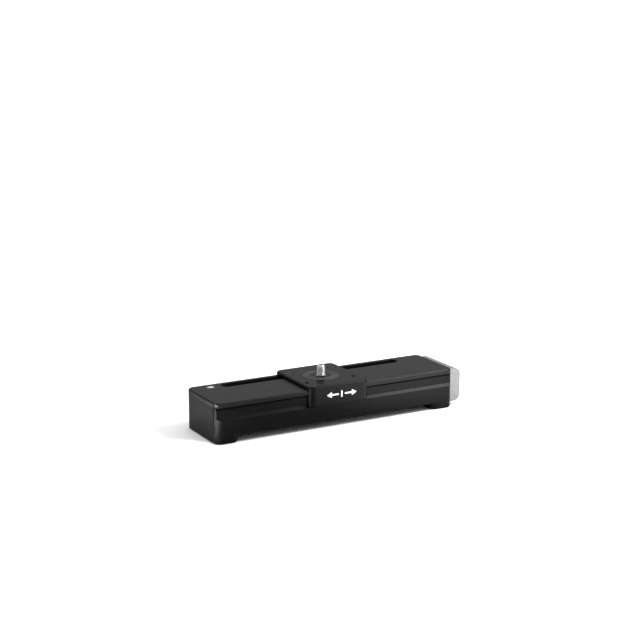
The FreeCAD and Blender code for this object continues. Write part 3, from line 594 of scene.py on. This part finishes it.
def ring_outlines(outer, inner, start, end, steps):
    """Quads along an arc of a ring about the origin of a plane; the angles are in degrees."""
    quads = []
    for step in range(steps):
        first = math.radians(start + (end - start) * step / steps)
        second = math.radians(start + (end - start) * (step + 1) / steps)
        corners = ((inner, first), (outer, first), (outer, second), (inner, second))
        quads.append([(radius * math.cos(angle), radius * math.sin(angle)) for radius, angle in corners])
    return quads


def power_mark():
    """Generic standby mark on the button: an open ring and a bar."""
    low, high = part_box("power_button")
    middle = ((low.x + high.x) / 2 + 0.8 * MM, (low.y + high.y) / 2)
    outlines = ring_outlines(2.3, 1.55, 125, 415, 32) + [bar(-0.38, 0.5, 0.38, 2.6)]

    def place(u, v, lift):
        return (middle[0] + u * MM, middle[1] + v * MM, high.z + lift)

    print_mark("power_mark", outlines, place, "button")


travel_mark()
power_mark()


# ---- floor, light and camera ----

FLOOR_REACH = 40.0
# Upward part of a direction, from -1 to 1, and how bright the surroundings are there
SKY = ((0.1, 0.42), (0.9, 1.5))
# Soft boxes: name, direction from the object, distance, side, power
SOFT_BOXES = (
    ("top_front", (0.62, -0.36, 0.75), 1.3, 0.4, 17.0),
)
# Lamps that brighten the floor beside the object: name, place, spot on the floor, cone, power
FLOOR_POOLS = (
    ("pool_near", (-0.25, -0.08, 0.75), (-0.23, -0.067, 0.0), 6.5, 1800.0),
    ("pool_far", (-0.36, -0.095, 0.75), (-0.325, -0.085, 0.0), 8.0, 3200.0),
    ("pool_right", (0.15, -0.22, 0.75), (0.155, -0.205, 0.0), 24.0, 235.0),
)


def studio_floor():
    """Large pale sheet a hair below the feet."""
    made = Nodes("studio_floor")
    paper = made.noise(2.5 * MM, detail=3.0)
    made.bump(paper, 0.02 * MM, 0.2)
    paper_finish = made.finish(Base_Color=grey(0.86), Roughness=made.span(paper, 0.75, 0.85))
    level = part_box("foot_pad_left")[0].z - 0.1 * MM
    near, far = -FLOOR_REACH, FLOOR_REACH
    corners = [(near, near, level), (far, near, level), (far, far, level), (near, far, level)]
    add_piece("studio_floor", corners, [(0, 1, 2, 3)], paper_finish)


def studio_sky():
    """White surroundings that grow brighter towards the top."""
    world = bpy.data.worlds.new("studio_world")
    bpy.context.scene.world = world
    world.use_nodes = True
    tree = world.node_tree
    background = tree.nodes["Background"]
    background.inputs["Color"].default_value = grey(1.0)
    where = tree.nodes.new("ShaderNodeTexCoord")
    split = tree.nodes.new("ShaderNodeSeparateXYZ")
    rise = tree.nodes.new("ShaderNodeMapRange")
    for end, (height, strength) in zip(("Min", "Max"), SKY):
        rise.inputs["From " + end].default_value = height
        rise.inputs["To " + end].default_value = strength
    tree.links.new(where.outputs["Generated"], split.inputs["Vector"])
    tree.links.new(split.outputs["Z"], rise.inputs["Value"])
    tree.links.new(rise.outputs["Result"], background.inputs["Strength"])


def aim(name, data, place, forward):
    """Lamp or camera at a place, pointing along a direction."""
    holder = bpy.data.objects.new(name, data)
    bpy.context.scene.collection.objects.link(holder)
    holder.location = place
    holder.rotation_euler = forward.to_track_quat("-Z", "Y").to_euler()
    return holder


def studio_lamps():
    """Soft boxes above, and narrow lamps for the floor."""
    for name, away, distance, side, power in SOFT_BOXES:
        data = bpy.data.lights.new(name, "AREA")
        data.shape = "SQUARE"
        data.size = side
        data.energy = power
        place = Vector(away).normalized() * distance
        aim(name, data, place, -place)
    for name, place, spot, cone, power in FLOOR_POOLS:
        data = bpy.data.lights.new(name, "SPOT")
        data.spot_size = math.radians(cone)
        data.spot_blend = 0.7
        data.shadow_soft_size = 0.05
        data.energy = power
        aim(name, data, Vector(place), Vector(spot) - Vector(place))


def photo_camera():
    """Camera to the left of the front, a little above the object."""
    data = bpy.data.cameras.new("camera")
    data.lens = 87.225
    data.sensor_width = 36.0
    data.clip_start = 0.05
    place = Vector((-0.8278, -1.4966, 0.5157))
    forward = Vector((0.4693, 0.8518, -0.2326))
    bpy.context.scene.camera = aim("camera", data, place, forward)


studio_floor()
studio_sky()
studio_lamps()
photo_camera()

scene_view = bpy.context.scene.view_settings
scene_view.view_transform = "Standard"
scene_view.look = "None"
